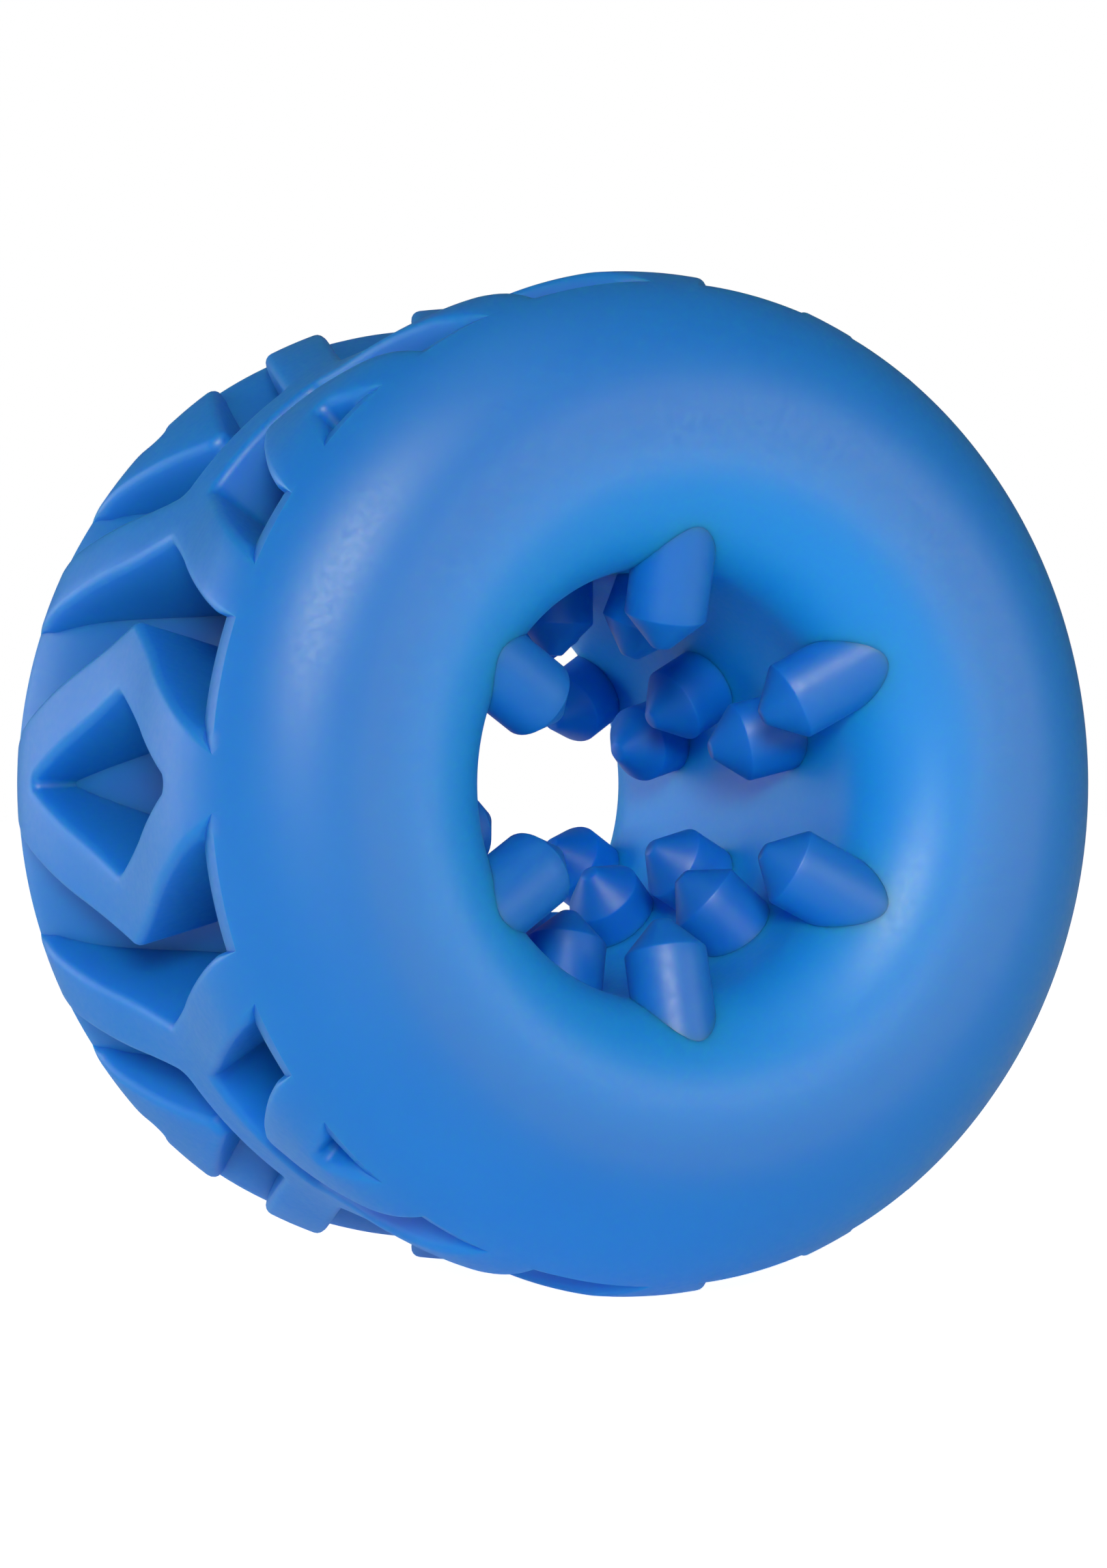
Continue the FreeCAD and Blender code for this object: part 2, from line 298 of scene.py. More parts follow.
@dataclass
class Tread:
    """One sixteenth of the ring: an eighth of a turn, from the middle plane to the middle of the bore.

    The plan is a flat sheet of (turn, distance along the section). Its lines follow every rib's fillet,
    wall and foot, so that each crease of the moulding is an edge of the mesh.
    """

    section: Section
    repeats: int = 4                               # the tread repeats this many times round
    half_top: float = 0.049                        # half the width of a rib's flat top
    fillet: float = 0.020                          # rounding of a rib's top edge
    draft: float = math.radians(4.5)               # lean of the walls, which lets the tool draw
    corner: float = 0.012                          # rounding of the outlines' outward corners
    low_wall: float = 0.030                        # walls lower than this have a smaller fillet
    spacing: float = 0.022                         # size of the mesh's triangles
    outline_step: float = 0.75                     # share of that size used along an outline
    row_step: float = 0.87                         # and between rows of the fill, for even triangles
    wall_room: float = 0.55                        # and between the fill and the nearest wall
    bend_step: float = math.radians(14)            # turn of one piece of a rounded corner
    bend_pieces: int = 4                           # fewest pieces in a rounded corner
    fillet_lines: int = 5                          # lines of the mesh over a fillet
    lobe_columns: int = 32                         # columns of the mesh over the lobe
    overrun: float = 0.1                           # how far the outlines run past the edge
    touch: float = 1e-6                            # a point this near to the edge is on it
    diamond_corner: float = math.radians(14.9)     # rib centre lines, as turns from a diamond's middle
    link_apex: float = math.radians(33.5)
    link_end: float = math.radians(21.4)
    chevron_end: float = math.radians(8.3)         # turn from the middle of a chevron
    chevron_apex_y: float = 0.240
    plan: list[np.ndarray] = field(default_factory=list)
    lines: list[tuple[int, int, Level]] = field(default_factory=list)

    @property
    def span(self) -> float:
        """Turn that the sheet covers."""
        return math.pi / self.repeats

    def wall_height(self, along: np.ndarray) -> np.ndarray:
        """Height of a rib over the floor at distances along Y."""
        height = self.section.crown(along) - self.section.floor(along)
        return np.where(np.abs(along) < self.section.edge_y, height, 0.0)

    def step(self, level: Level, share: float, height: np.ndarray) -> tuple[np.ndarray, np.ndarray]:
        """How far out from a rib's flat top a line lies, and how far down.

        Args:
            level: The part of the wall that the line belongs to.
            share: How far through that part, from 0 to 1.
            height: Height of the wall at each point.

        Returns:
            Distances outwards and distances down.
        """
        steepest = QUARTER_TURN - self.draft
        squeeze = np.minimum(1.0, height / self.low_wall)
        turn = steepest * (share if level is Level.FILLET else 1.0)
        out = self.fillet * math.sin(turn) * squeeze
        down = self.fillet * (1 - math.cos(turn)) * squeeze
        if level is Level.FILLET:
            return out, down
        rest = (height - down) * share
        return out + rest * math.tan(self.draft), down + rest

    def rounded(self, corners: list[tuple[float, float]]) -> Outline:
        """Round the corners of an outline and divide it evenly.

        Args:
            corners: Points of the outline, with the rib on the left.

        Returns:
            The outline, with normals to its right.
        """
        points, normals = [], []
        path = [np.array(c, float) for c in corners]
        start = path[0]
        for index in range(1, len(path)):
            ahead = (path[index] - path[index - 1]) / np.linalg.norm(path[index] - path[index - 1])
            right = np.array((ahead[1], -ahead[0]))
            stop = path[index]
            bend = None
            if index < len(path) - 1:
                leave = (path[index + 1] - stop) / np.linalg.norm(path[index + 1] - stop)
                turn = math.atan2(ahead[0] * leave[1] - ahead[1] * leave[0], float(ahead @ leave))
                radius = self.corner
                if turn < 0:
                    height = self.wall_height(stop[1:])
                    radius += float(self.step(Level.FOOT, 1.0, height)[0][0])
                bend = (turn, radius, leave)
                stop = stop - ahead * radius * math.tan(abs(turn) / 2)
            count = max(2, math.ceil(np.linalg.norm(stop - start) / (self.outline_step * self.spacing)))
            for share in np.linspace(0, 1, count, endpoint=False):
                points.append(start + (stop - start) * share)
                normals.append(right)
            start = stop
            if bend:
                turn, radius, leave = bend
                side = -right if turn > 0 else right
                centre = stop + side * radius
                pieces = max(self.bend_pieces, math.ceil(abs(turn) / self.bend_step))
                for share in np.linspace(0, 1, pieces, endpoint=False):
                    cos, sin = math.cos(turn * share), math.sin(turn * share)
                    normal = np.array((right[0] * cos - right[1] * sin, right[0] * sin + right[1] * cos))
                    points.append(centre + normal * (radius if turn > 0 else -radius))
                    normals.append(normal)
                start = path[index] + leave * radius * math.tan(abs(turn) / 2)
        points.append(path[-1])
        normals.append(normals[-1])
        return Outline(np.array(points), np.array(normals))

    def outlines(self) -> list[Outline]:
        """Lay out the flat tops of the diamond, the link and the chevron.

        Returns:
            Their outlines, which run on past the sheet's ends.
        """
        rim = self.section.edge_y + self.overrun
        half = self.half_top
        middle = self.span
        diamond = ((self.diamond_corner, 0.0), (0.0, self.section.edge_y))
        arm = ((self.link_apex, 0.0), (self.link_end, self.section.edge_y))
        vee = ((middle, self.chevron_apex_y), (middle - self.chevron_end, self.section.edge_y))

        def turn_at(line: tuple, along: float, offset: float) -> float:
            """Turn where a centre line moved sideways is at a distance along Y."""
            (turn, low), (end_turn, high) = line
            length = math.hypot(end_turn - turn, high - low)
            return turn + ((end_turn - turn) * (along - low) + offset * length) / (high - low)

        def along_at(line: tuple, turn: float, offset: float) -> float:
            """Distance along Y where a centre line moved sideways is at a turn."""
            (first, low), (end_turn, high) = line
            length = math.hypot(end_turn - first, high - low)
            return low + ((turn - first) * (high - low) - offset * length) / (end_turn - first)

        outer = turn_at(diamond, rim, half)
        inner, hole = turn_at(diamond, 0.0, -half), along_at(diamond, 0.0, -half)
        fork = turn_at(arm, rim, -half)
        crotch, arm_end = turn_at(arm, half, half), turn_at(arm, rim, half)
        shoulder, recess = turn_at(vee, rim, -half), turn_at(vee, rim, half)
        chains = [
            [(outer, -rim), (turn_at(diamond, 0.0, half), 0.0), (outer, rim)],
            [(-inner, 0.0), (0.0, hole), (inner, 0.0), (0.0, -hole)],
            [(fork, rim), (turn_at(arm, 0.0, -half), 0.0), (fork, -rim)],
            [(2 * middle - arm_end, rim), (2 * middle - crotch, half), (crotch, half), (arm_end, rim)],
            [(shoulder, rim), (middle, along_at(vee, middle, -half)), (2 * middle - shoulder, rim)],
            [(2 * middle - recess, rim), (middle, along_at(vee, middle, half)), (recess, rim)],
        ]
        return [self.rounded(chain) for chain in chains]

    @staticmethod
    def trimmed(pieces: Iterable[np.ndarray], axis: int, low: float, high: float) -> list[np.ndarray]:
        """Cut lines to a range on one axis.

        Args:
            pieces: Lines of (turn, along, radius) points.
            axis: 0 for the turn, 1 for the distance along.
            low: Lower end of the range.
            high: Upper end of the range.

        Returns:
            The lines' parts inside the range, which end exactly on it.
        """
        kept: list[list[np.ndarray]] = []
        for piece in pieces:
            run: list[np.ndarray] = []
            for first, second in zip(piece[:-1], piece[1:]):
                climb = second[axis] - first[axis]
                if abs(climb) < 1e-12:
                    enter, leave = (0.0, 1.0) if low <= first[axis] <= high else (1.0, 0.0)
                else:
                    ends = sorted(((low - first[axis]) / climb, (high - first[axis]) / climb))
                    enter, leave = max(0.0, ends[0]), min(1.0, ends[1])
                if enter >= leave:
                    kept.append(run)
                    run = []
                    continue
                if not run or enter > 0:
                    kept.append(run)
                    run = [first + (second - first) * enter]
                run.append(first + (second - first) * leave)
                if leave < 1:
                    kept.append(run)
                    run = []
            kept.append(run)
        found = [np.array(run) for run in kept if len(run) > 1]
        for run in found:
            run[:, axis] = np.clip(run[:, axis], low, high)
        return found

    def add_walls(self, outlines: list[Outline]) -> None:
        """Add the lines of every fillet, wall and foot to the plan.

        Args:
            outlines: The ribs' outlines.
        """
        steps = [(Level.FILLET, share) for share in np.linspace(0, 1, self.fillet_lines)]
        steps += [(Level.WALL, 0.5), (Level.FOOT, 1.0)]
        for outline in outlines:
            height = self.wall_height(outline.points[:, 1])
            for level, share in steps:
                out, down = self.step(level, share, height)
                moved = outline.points + outline.normals * out[:, None]
                radius = self.section.crown(moved[:, 1]) - down
                if level is Level.FOOT:
                    radius = self.section.floor(moved[:, 1])
                pieces = [np.column_stack((moved, radius))]
                pieces = self.trimmed(pieces, 0, 0.0, self.span)
                pieces = self.trimmed(pieces, 1, 0.0, self.section.edge_y)
                for piece in pieces:
                    first = len(self.plan)
                    self.plan.extend(piece)
                    self.lines.extend((first + i, first + i + 1, level) for i in range(len(piece) - 1))

    def pocket_side(self, points: np.ndarray, outlines: list[Outline]) -> np.ndarray:
        """Which points of the plan lie in a pocket and not on a rib.

        Args:
            points: Points of (turn, along).
            outlines: The ribs' outlines.

        Returns:
            True for each point in a pocket.
        """
        edge = np.concatenate([o.points for o in outlines])
        normals = np.concatenate([o.normals for o in outlines])
        gap = points[:, None, :] - edge[None, :, :]
        nearest = np.argmin((gap ** 2).sum(2), axis=1)
        rows = np.arange(len(points))
        return (gap[rows, nearest] * normals[nearest]).sum(1) > 0

    def add_fill(self, outlines: list[Outline]) -> None:
        """Add evenly spread points to the rib tops, the floor and the sheet's borders.

        Args:
            outlines: The ribs' outlines.
        """
        edge_y = self.section.edge_y
        start = edge_y - self.section.lip
        columns = math.ceil(self.span / self.spacing)
        rows = math.ceil(start / (self.spacing * self.row_step))
        levels = [*np.linspace(0, start, rows), edge_y]
        spread = []
        for row, along in enumerate(levels):
            shift = 0.5 * (row % 2)
            turns = [(column + shift) / columns * self.span for column in range(columns)]
            if along in (0, edge_y):
                turns = [column / columns * self.span for column in range(columns)]
            spread += [(turn, along) for turn in turns + [0.0, self.span]]
        spread = np.unique(np.round(np.array(spread), 9), axis=0)
        walls = np.array(self.plan)[:, :2]
        gap = np.sqrt(((spread[:, None, :] - walls[None, :, :]) ** 2).sum(2)).min(1)
        on_corner = np.isin(spread[:, 0], (0.0, round(self.span, 9))) & np.isin(spread[:, 1], (0.0, edge_y))
        spread = spread[(gap > self.wall_room * self.spacing) | on_corner]
        in_pocket = self.pocket_side(spread, outlines)
        radius = np.where(in_pocket, self.section.floor(spread[:, 1]), self.section.crown(spread[:, 1]))
        self.plan.extend(np.column_stack((np.minimum(spread[:, 0], self.span), spread[:, 1], radius)))

    def build(self) -> bpy.types.Mesh:
        """Make the sheet, wrap it round the bore's axis and mark its creases.

        Returns:
            A mesh in metres, with sharp edges and a depth attribute that the material uses for painted
            shade.
        """
        outlines = self.outlines()
        self.add_walls(outlines)
        self.add_fill(outlines)
        lobe = self.section.lobe_rows()
        waist = len(self.plan)
        places = {}
        for run, radius, along in lobe:
            for column in range(self.lobe_columns + 1):
                places[len(self.plan)] = (radius, along)
                self.plan.append(np.array((self.span * column / self.lobe_columns, run, radius)))
        flat = [Vector((float(p[0]), float(p[1]))) for p in self.plan]
        made, edges, faces, from_points, from_edges, _ = delaunay_2d_cdt(
            flat, [(a, b) for a, b, _ in self.lines], [], 0, MERGE)
        edge_y = self.section.edge_y
        points = []
        depths = []
        for place, sources in zip(made, from_points):
            source = sources[0]
            turn, along = float(place[0]), float(place[1])
            radius = float(self.plan[source][2])
            depth = 0.0
            if source >= waist:
                radius, along = places[source]
            elif along > edge_y - self.touch:
                radius = self.section.edge_r
            else:
                depth = max(0.0, float(self.section.crown(np.array(along))) - radius)
            points.append((radius * math.cos(turn), along, radius * math.sin(turn)))
            depths.append(depth / self.section.floor_depth)
        mesh = bpy.data.meshes.new("tread_tile")
        mesh.from_pydata((np.array(points) * self.section.edge).tolist(), [], [f[::-1] for f in faces])
        # pocket_depth sets how much painted shade the material puts on the pocket floors
        mesh.attributes.new("pocket_depth", "FLOAT", "POINT").data.foreach_set("value", depths)
        self.mark_creases(mesh, made, edges, from_edges, outlines)
        mesh.shade_smooth()
        return mesh

    def mark_creases(self, mesh: bpy.types.Mesh, made: list[Vector], edges: list[tuple[int, int]],
                     from_edges: list[list[int]], outlines: list[Outline]) -> None:
        """Mark the foot of every wall, and the lobe's edge over the pockets, as sharp.

        Args:
            mesh: The wrapped sheet.
            made: The plan's points, in the mesh's order.
            edges: The plan's edges, as pairs of points.
            from_edges: The lines that each of those edges follows.
            outlines: The ribs' outlines.
        """
        sharp = set()
        rim = []
        for pair, sources in zip(edges, from_edges):
            if any(self.lines[source][2] is Level.FOOT for source in sources):
                sharp.add(frozenset(pair))
            elif all(abs(made[i][1] - self.section.edge_y) < self.touch for i in pair):
                rim.append(pair)
        middles = np.array([[(made[a][0] + made[b][0]) / 2, self.section.edge_y] for a, b in rim])
        for pair, pocket in zip(rim, self.pocket_side(middles, outlines)):
            if pocket:
                sharp.add(frozenset(pair))
        marks = [frozenset(edge.vertices) in sharp for edge in mesh.edges]
        mesh.attributes.new("sharp_edge", "BOOLEAN", "EDGE").data.foreach_set("value", marks)


def geometry_tree(name: str, sockets: dict[str, str]) -> tuple[bpy.types.NodeTree, bpy.types.Node]:
    """Start a geometry node tree with named inputs.

    Args:
        name: The tree's name.
        sockets: Names and types of the inputs after the geometry.

    Returns:
        The tree and its input node.
    """
    tree = bpy.data.node_groups.new(name, "GeometryNodeTree")
    tree.interface.new_socket("Geometry", in_out="INPUT", socket_type="NodeSocketGeometry")
    for label, kind in sockets.items():
        tree.interface.new_socket(label, in_out="INPUT", socket_type=kind)
    tree.interface.new_socket("Geometry", in_out="OUTPUT", socket_type="NodeSocketGeometry")
    return tree, tree.nodes.new("NodeGroupInput")


def end_tree(tree: bpy.types.NodeTree, geometry: bpy.types.NodeSocket,
             material: bpy.types.NodeSocket) -> None:
    """Close a tree with its instances made real and its material set.

    Args:
        tree: The geometry node tree.
        geometry: The socket that gives the finished shape.
        material: The socket that gives the material.
    """
    real = add_node(tree, "GeometryNodeRealizeInstances", inputs={"Geometry": geometry})
    dressed = add_node(tree, "GeometryNodeSetMaterial", inputs={"Geometry": real.outputs[0],
                                                                "Material": material})
    add_node(tree, "NodeGroupOutput", inputs={"Geometry": dressed.outputs[0]})


def ring_tree() -> bpy.types.NodeTree:
    """Make the tree that mirrors a tile twice, repeats it round the bore and welds the copies.

    Returns:
        The geometry node tree.
    """
    tree, given = geometry_tree("moulded_ring", {"Repeats": "NodeSocketInt", "Weld": "NodeSocketFloat",
                                                 "Material": "NodeSocketMaterial"})
    whole = given.outputs["Geometry"]
    for mirror in ((1.0, 1.0, -1.0), (1.0, -1.0, 1.0)):
        other = add_node(tree, "GeometryNodeTransform", inputs={"Geometry": whole, "Scale": mirror})
        turned = add_node(tree, "GeometryNodeFlipFaces", inputs={"Mesh": other.outputs[0]})
        both = add_node(tree, "GeometryNodeJoinGeometry", inputs={"Geometry": whole})
        tree.links.new(turned.outputs[0], both.inputs[0])
        whole = both.outputs[0]
    points = add_node(tree, "GeometryNodePoints", inputs={"Count": given.outputs["Repeats"]})
    index = add_node(tree, "GeometryNodeInputIndex")
    share = add_node(tree, "ShaderNodeMath", {"operation": "DIVIDE"},
                     {0: index.outputs[0], 1: given.outputs["Repeats"]})
    angle = add_node(tree, "ShaderNodeMath", {"operation": "MULTIPLY"}, {0: share.outputs[0], 1: math.tau})
    turn = add_node(tree, "ShaderNodeCombineXYZ", inputs={"Y": angle.outputs[0]})
    copies = add_node(tree, "GeometryNodeInstanceOnPoints",
                      inputs={"Points": points.outputs[0], "Instance": whole, "Rotation": turn.outputs[0]})
    real = add_node(tree, "GeometryNodeRealizeInstances", inputs={"Geometry": copies.outputs[0]})
    weld = add_node(tree, "GeometryNodeMergeByDistance",
                    inputs={"Geometry": real.outputs[0], "Distance": given.outputs["Weld"]})
    end_tree(tree, weld.outputs[0], given.outputs["Material"])
    return tree


def nub_tree() -> bpy.types.NodeTree:
    """Make the tree that seats an upright nub in the bore's wall.

    Returns:
        The geometry node tree.
    """
    tree, given = geometry_tree("seated_nub", {
        "Radius": "NodeSocketFloat", "Row": "NodeSocketFloat", "Lean": "NodeSocketFloat",
        "Turn": "NodeSocketFloat", "Material": "NodeSocketMaterial"})
    laid = add_node(tree, "GeometryNodeTransform", inputs={"Geometry": given.outputs["Geometry"],
                                                           "Rotation": (0.0, -QUARTER_TURN, 0.0)})
    lean = add_node(tree, "ShaderNodeMath", {"operation": "MULTIPLY"}, {0: given.outputs["Lean"], 1: -1.0})
    lean_turn = add_node(tree, "ShaderNodeCombineXYZ", inputs={"Z": lean.outputs[0]})
    leaning = add_node(tree, "GeometryNodeTransform", inputs={"Geometry": laid.outputs[0],
                                                              "Rotation": lean_turn.outputs[0]})
    place = add_node(tree, "ShaderNodeCombineXYZ", inputs={"X": given.outputs["Radius"],
                                                           "Y": given.outputs["Row"]})
    placed = add_node(tree, "GeometryNodeTransform", inputs={"Geometry": leaning.outputs[0],
                                                             "Translation": place.outputs[0]})
    back = add_node(tree, "ShaderNodeMath", {"operation": "MULTIPLY"}, {0: given.outputs["Turn"], 1: -1.0})
    turn = add_node(tree, "ShaderNodeCombineXYZ", inputs={"Y": back.outputs[0]})
    seated = add_node(tree, "GeometryNodeTransform", inputs={"Geometry": placed.outputs[0],
                                                             "Rotation": turn.outputs[0]})
    end_tree(tree, seated.outputs[0], given.outputs["Material"])
    return tree


# ---- the finish --------------------------------------------------------------------------------
@dataclass(frozen=True)
class SatinElastomer:
    """Styrenic elastomer (TPE), injection moulded in a tool with a fine spark-eroded texture.

    The pigment is light, so light goes a few millimetres into it and thin edges glow. A brighter blue is
    painted round the bore as painted light, for the light that comes through the wall, and a darker, purer
    blue is painted on the pocket floors as painted shade. The eroded tool leaves a satin skin with broad,
    soft highlights.
    """

    name: str
    body: str = "#0a86da"              # the pigment in the thick of the moulding
    cloud: str = "#0e8cde"             # where the melt carried a little less of it
    pocket: str = "#0c5098"            # painted shade on the floors of the pockets, which little light leaves
    glow: str = "#14a4f4"              # painted light round the bore, for the light that comes through the wall
    painted_glow_mm: tuple[float, float] = (15.5, 24.0)    # distances from the axis over which that fades out
    roughness: float = 0.47
    ior: float = 1.50                  # styrenic elastomers are close to 1.5
    depth_mm: float = 4.0              # how far blue light wanders in
    scatter: float = 1.0               # share of the light that goes in
    wander: tuple[float, float, float] = (0.10, 0.40, 1.0)    # of red, green and blue, as shares of that
    cloud_mm: float = 9.0              # size of the pigment's clouds
    texture_mm: float = 0.5            # the eroded texture is finer, and is drawn this coarse to show
    rough_swing: float = 0.04          # how far the texture moves the roughness each way
    relief_mm: float = 0.02            # depth of the texture
    relief_strength: float = 0.06
    pocket_shade_full: float = 1.1           # pocket depth at which the painted shade is strongest, 1 is the deepest
    pocket_shade_mix: float = 0.8            # and how much of it is then mixed in

    def build(self) -> bpy.types.Material:
        """Make the material's nodes.

        Returns:
            The new material.
        """
        material = bpy.data.materials.new(self.name)
        material.use_nodes = True
        tree = material.node_tree
        tree.nodes.clear()
        place = add_node(tree, "ShaderNodeTexCoord").outputs["Object"]
        clouds = add_node(tree, "ShaderNodeTexNoise",
                          inputs={"Vector": place, "Scale": 1 / (self.cloud_mm * MM), "Detail": 2.0,
                                  "Roughness": 0.45})
        pigment = add_node(tree, "ShaderNodeMix", {"data_type": "RGBA"},
                           {0: clouds.outputs[0], 6: linear_colour(self.body), 7: linear_colour(self.cloud)})
        # painted light: a brighter blue near the bore's axis, which fades out between the two glow distances
        across = add_node(tree, "ShaderNodeVectorMath", {"operation": "MULTIPLY"},
                          {0: place, 1: (1.0, 0.0, 1.0)})
        reach = add_node(tree, "ShaderNodeVectorMath", {"operation": "LENGTH"}, {0: across.outputs[0]})
        near = add_node(tree, "ShaderNodeMapRange", {"interpolation_type": "SMOOTHSTEP"},
                        {0: reach.outputs["Value"], 1: self.painted_glow_mm[0] * MM, 2: self.painted_glow_mm[1] * MM,
                         3: 1.0, 4: 0.0})
        lit = add_node(tree, "ShaderNodeMix", {"data_type": "RGBA"},
                       {0: near.outputs[0], 6: pigment.outputs[2], 7: linear_colour(self.glow)})
        # painted shade: the darker pocket colour is mixed into the base colour by the pocket's depth
        depth = add_node(tree, "ShaderNodeAttribute", {"attribute_name": "pocket_depth"})
        pocket_shade_share = add_node(tree, "ShaderNodeMapRange",
                            inputs={0: depth.outputs["Fac"], 2: self.pocket_shade_full, 4: self.pocket_shade_mix})
        colour = add_node(tree, "ShaderNodeMix", {"data_type": "RGBA"},
                          {0: pocket_shade_share.outputs[0], 6: lit.outputs[2], 7: linear_colour(self.pocket)})
        grain = add_node(tree, "ShaderNodeTexNoise",
                         inputs={"Vector": place, "Scale": 1 / (self.texture_mm * MM), "Detail": 3.0})
        rough = add_node(tree, "ShaderNodeMapRange",
                         inputs={0: grain.outputs[0], 1: 0.3, 2: 0.7, 3: self.roughness - self.rough_swing,
                                 4: self.roughness + self.rough_swing})
        relief = add_node(tree, "ShaderNodeBump",
                          inputs={"Height": grain.outputs[0], "Strength": self.relief_strength,
                                  "Distance": self.relief_mm * MM})
        shader = add_node(tree, "ShaderNodeBsdfPrincipled", {"subsurface_method": "RANDOM_WALK"}, {
            "Base Color": colour.outputs[2], "Roughness": rough.outputs[0], "Normal": relief.outputs[0],
            "IOR": self.ior, "Subsurface Weight": self.scatter, "Subsurface Radius": self.wander,
            "Subsurface Scale": self.depth_mm * MM, "Subsurface Anisotropy": 0.0})
        add_node(tree, "ShaderNodeOutputMaterial", inputs={"Surface": shader.outputs[0]})
        return material


# ---- the pieces --------------------------------------------------------------------------------
@dataclass
class MouldedRing:
    """The ring's one continuous skin: lobes, throat, bore, waist and ribs."""

    section: Section
    finish: SatinElastomer
    weld: float = 2e-6                 # metres; copies of the tile meet within this

    def build(self, nodes: Iterable[str]) -> bpy.types.Object:
        """Build the skin and put it in place of the solids it stands for.

        Args:
            nodes: Names of all the frame's nodes.

        Returns:
            The finished piece.
        """
        tread = Tread(self.section)
        values = {"Repeats": tread.repeats, "Weld": self.weld, "Material": self.finish.build()}
        skin = realised("moulded_ring", tread.build(), ring_tree(), values)
        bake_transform(skin)
        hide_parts(*[name for name in nodes if not name.startswith("nub_")])
        return skin


@dataclass(frozen=True)
class NubRow:
    """A ring of nubs round the bore; lengths are shares of the edge radius."""

    name: str
    along: float                       # place along Y, where a nub's axis is at the reference radius
    lean: float                        # lean towards +Y
    first_turn: float                  # turn of the first nub
    count: int = 6


@dataclass
class Nubs:
    """The flexible nubs, each a shaft with a blunt cone, which grow from the bore's wall."""

    section: Section
    finish: SatinElastomer
    radius: float = 0.083              # of the shaft
    tip_radius: float = 0.018          # of the flat on the tip
    reference: float = 0.350           # a nub's places are counted from where its axis is at this radius
    shoulder: float = 0.0144           # from there to the shoulder
    tip: float = 0.0803                # and to the tip
    root: float = 0.190                # and outwards to the end that is hidden in the wall
    softening: float = 0.0022          # width of the tool's rounding at the shoulder
    sides: int = 48
    shaft_rows: int = 8                # rows of the mesh over the shaft
    crease: float = math.radians(38)   # edges sharper than this stay sharp
    rounds: int = 30                   # repeats after which the place of the wall has settled
    bend_from: float = 0.5             # where a bend of a nub would start, in shaft radii behind the wall
    bend_to: float = 1.1               # and where it would end, in front of the wall
    lean: float = math.radians(15.8)
    outer_row: float = 0.4813
    inner_row: float = 0.2235

    def rows(self) -> list[NubRow]:
        """List the rows from the front to the rear.

        Returns:
            The five rows.
        """
        even, odd = math.radians(30.0), math.radians(15.0)
        return [
            NubRow("front", -self.outer_row, self.lean, even),
            NubRow("front_inner", -self.inner_row, self.lean, odd),
            NubRow("middle", 0.0, 0.0, even),
            NubRow("rear_inner", self.inner_row, -self.lean, odd),
            NubRow("rear", self.outer_row, -self.lean, even),
        ]

    def template(self) -> bpy.types.Mesh:
        """Turn an upright nub about Z, with its tip up and its reference point at the origin.

        Returns:
            The nub's mesh, in metres.
        """
        soft = self.softening
        outline = [(self.radius, -self.root + (self.root + self.shoulder - soft) * share)
                   for share in np.linspace(0, 1, self.shaft_rows + 1)]
        outline += [(self.radius - 0.3 * soft, self.shoulder), (self.radius - soft, self.shoulder + soft)]
        slope = np.array((self.tip_radius - self.radius, self.tip - self.shoulder))
        shoulder = np.array((self.radius, self.shoulder))
        outline += [tuple(shoulder + slope * share) for share in (0.35, 0.68, 0.96)]
        outline += [(self.tip_radius * 0.92, self.tip)]
        sides = self.sides
        points, faces = [], []
        for radius, height in outline:
            for side in range(sides):
                turn = math.tau * side / sides
                points.append((radius * math.cos(turn), radius * math.sin(turn), height))
        for row in range(len(outline) - 1):
            for side in range(sides):
                near, far = row * sides + side, row * sides + (side + 1) % sides
                faces.append((near, far, far + sides, near + sides))
        for row, way in ((0, -1), (len(outline) - 1, 1)):
            centre = len(points)
            points.append((0.0, 0.0, outline[row][1]))
            for side in range(sides):
                pair = (row * sides + side, row * sides + (side + 1) % sides)
                faces.append((centre, *pair[::way]))
        mesh = bpy.data.meshes.new("nub_template")
        mesh.from_pydata((np.array(points) * self.section.edge).tolist(), [], faces)
        mesh.shade_smooth()
        mesh.set_sharp_from_angle(angle=self.crease)
        return mesh

    def build(self, parents: dict[str, str]) -> list[bpy.types.Object]:
        """Build every nub, seated in the bore's wall.

        Args:
            parents: For each body, the body that its joint hangs from. Not used.

        Returns:
            The finished nubs.
        """
        tree, material, template = nub_tree(), self.finish.build(), self.template()
        made = []
        size = self.section.edge
        for row in self.rows():
            for index in range(row.count):
                name = f"nub_{row.name}_{index + 1}"
                turn = row.first_turn + index * math.tau / row.count
                values = {"Radius": self.reference * size, "Row": row.along * size, "Lean": row.lean,
                          "Turn": turn, "Material": material}
                nub = realised("soft_" + name, template.copy(), tree, values)
                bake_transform(nub)
                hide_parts(name)
                made.append(nub)
        return made


# ---- the studio --------------------------------------------------------------------------------
@dataclass(frozen=True)
class SoftBox:
    """A square lamp that faces the ring. Angles are in degrees, as seen from the ring's middle."""

    name: str
    azimuth: float                     # 0 is in front of the bore, on -Y, and 90 is on +X
    elevation: float
    power: float                       # watts
    tint: str = "#ffffff"
    size: float = 0.20                 # metres
    distance: float = 0.35             # metres
    glint: bool = True                 # False for a fill lamp that leaves no highlight
    wash: bool = True                  # False for a lamp that only leaves a highlight


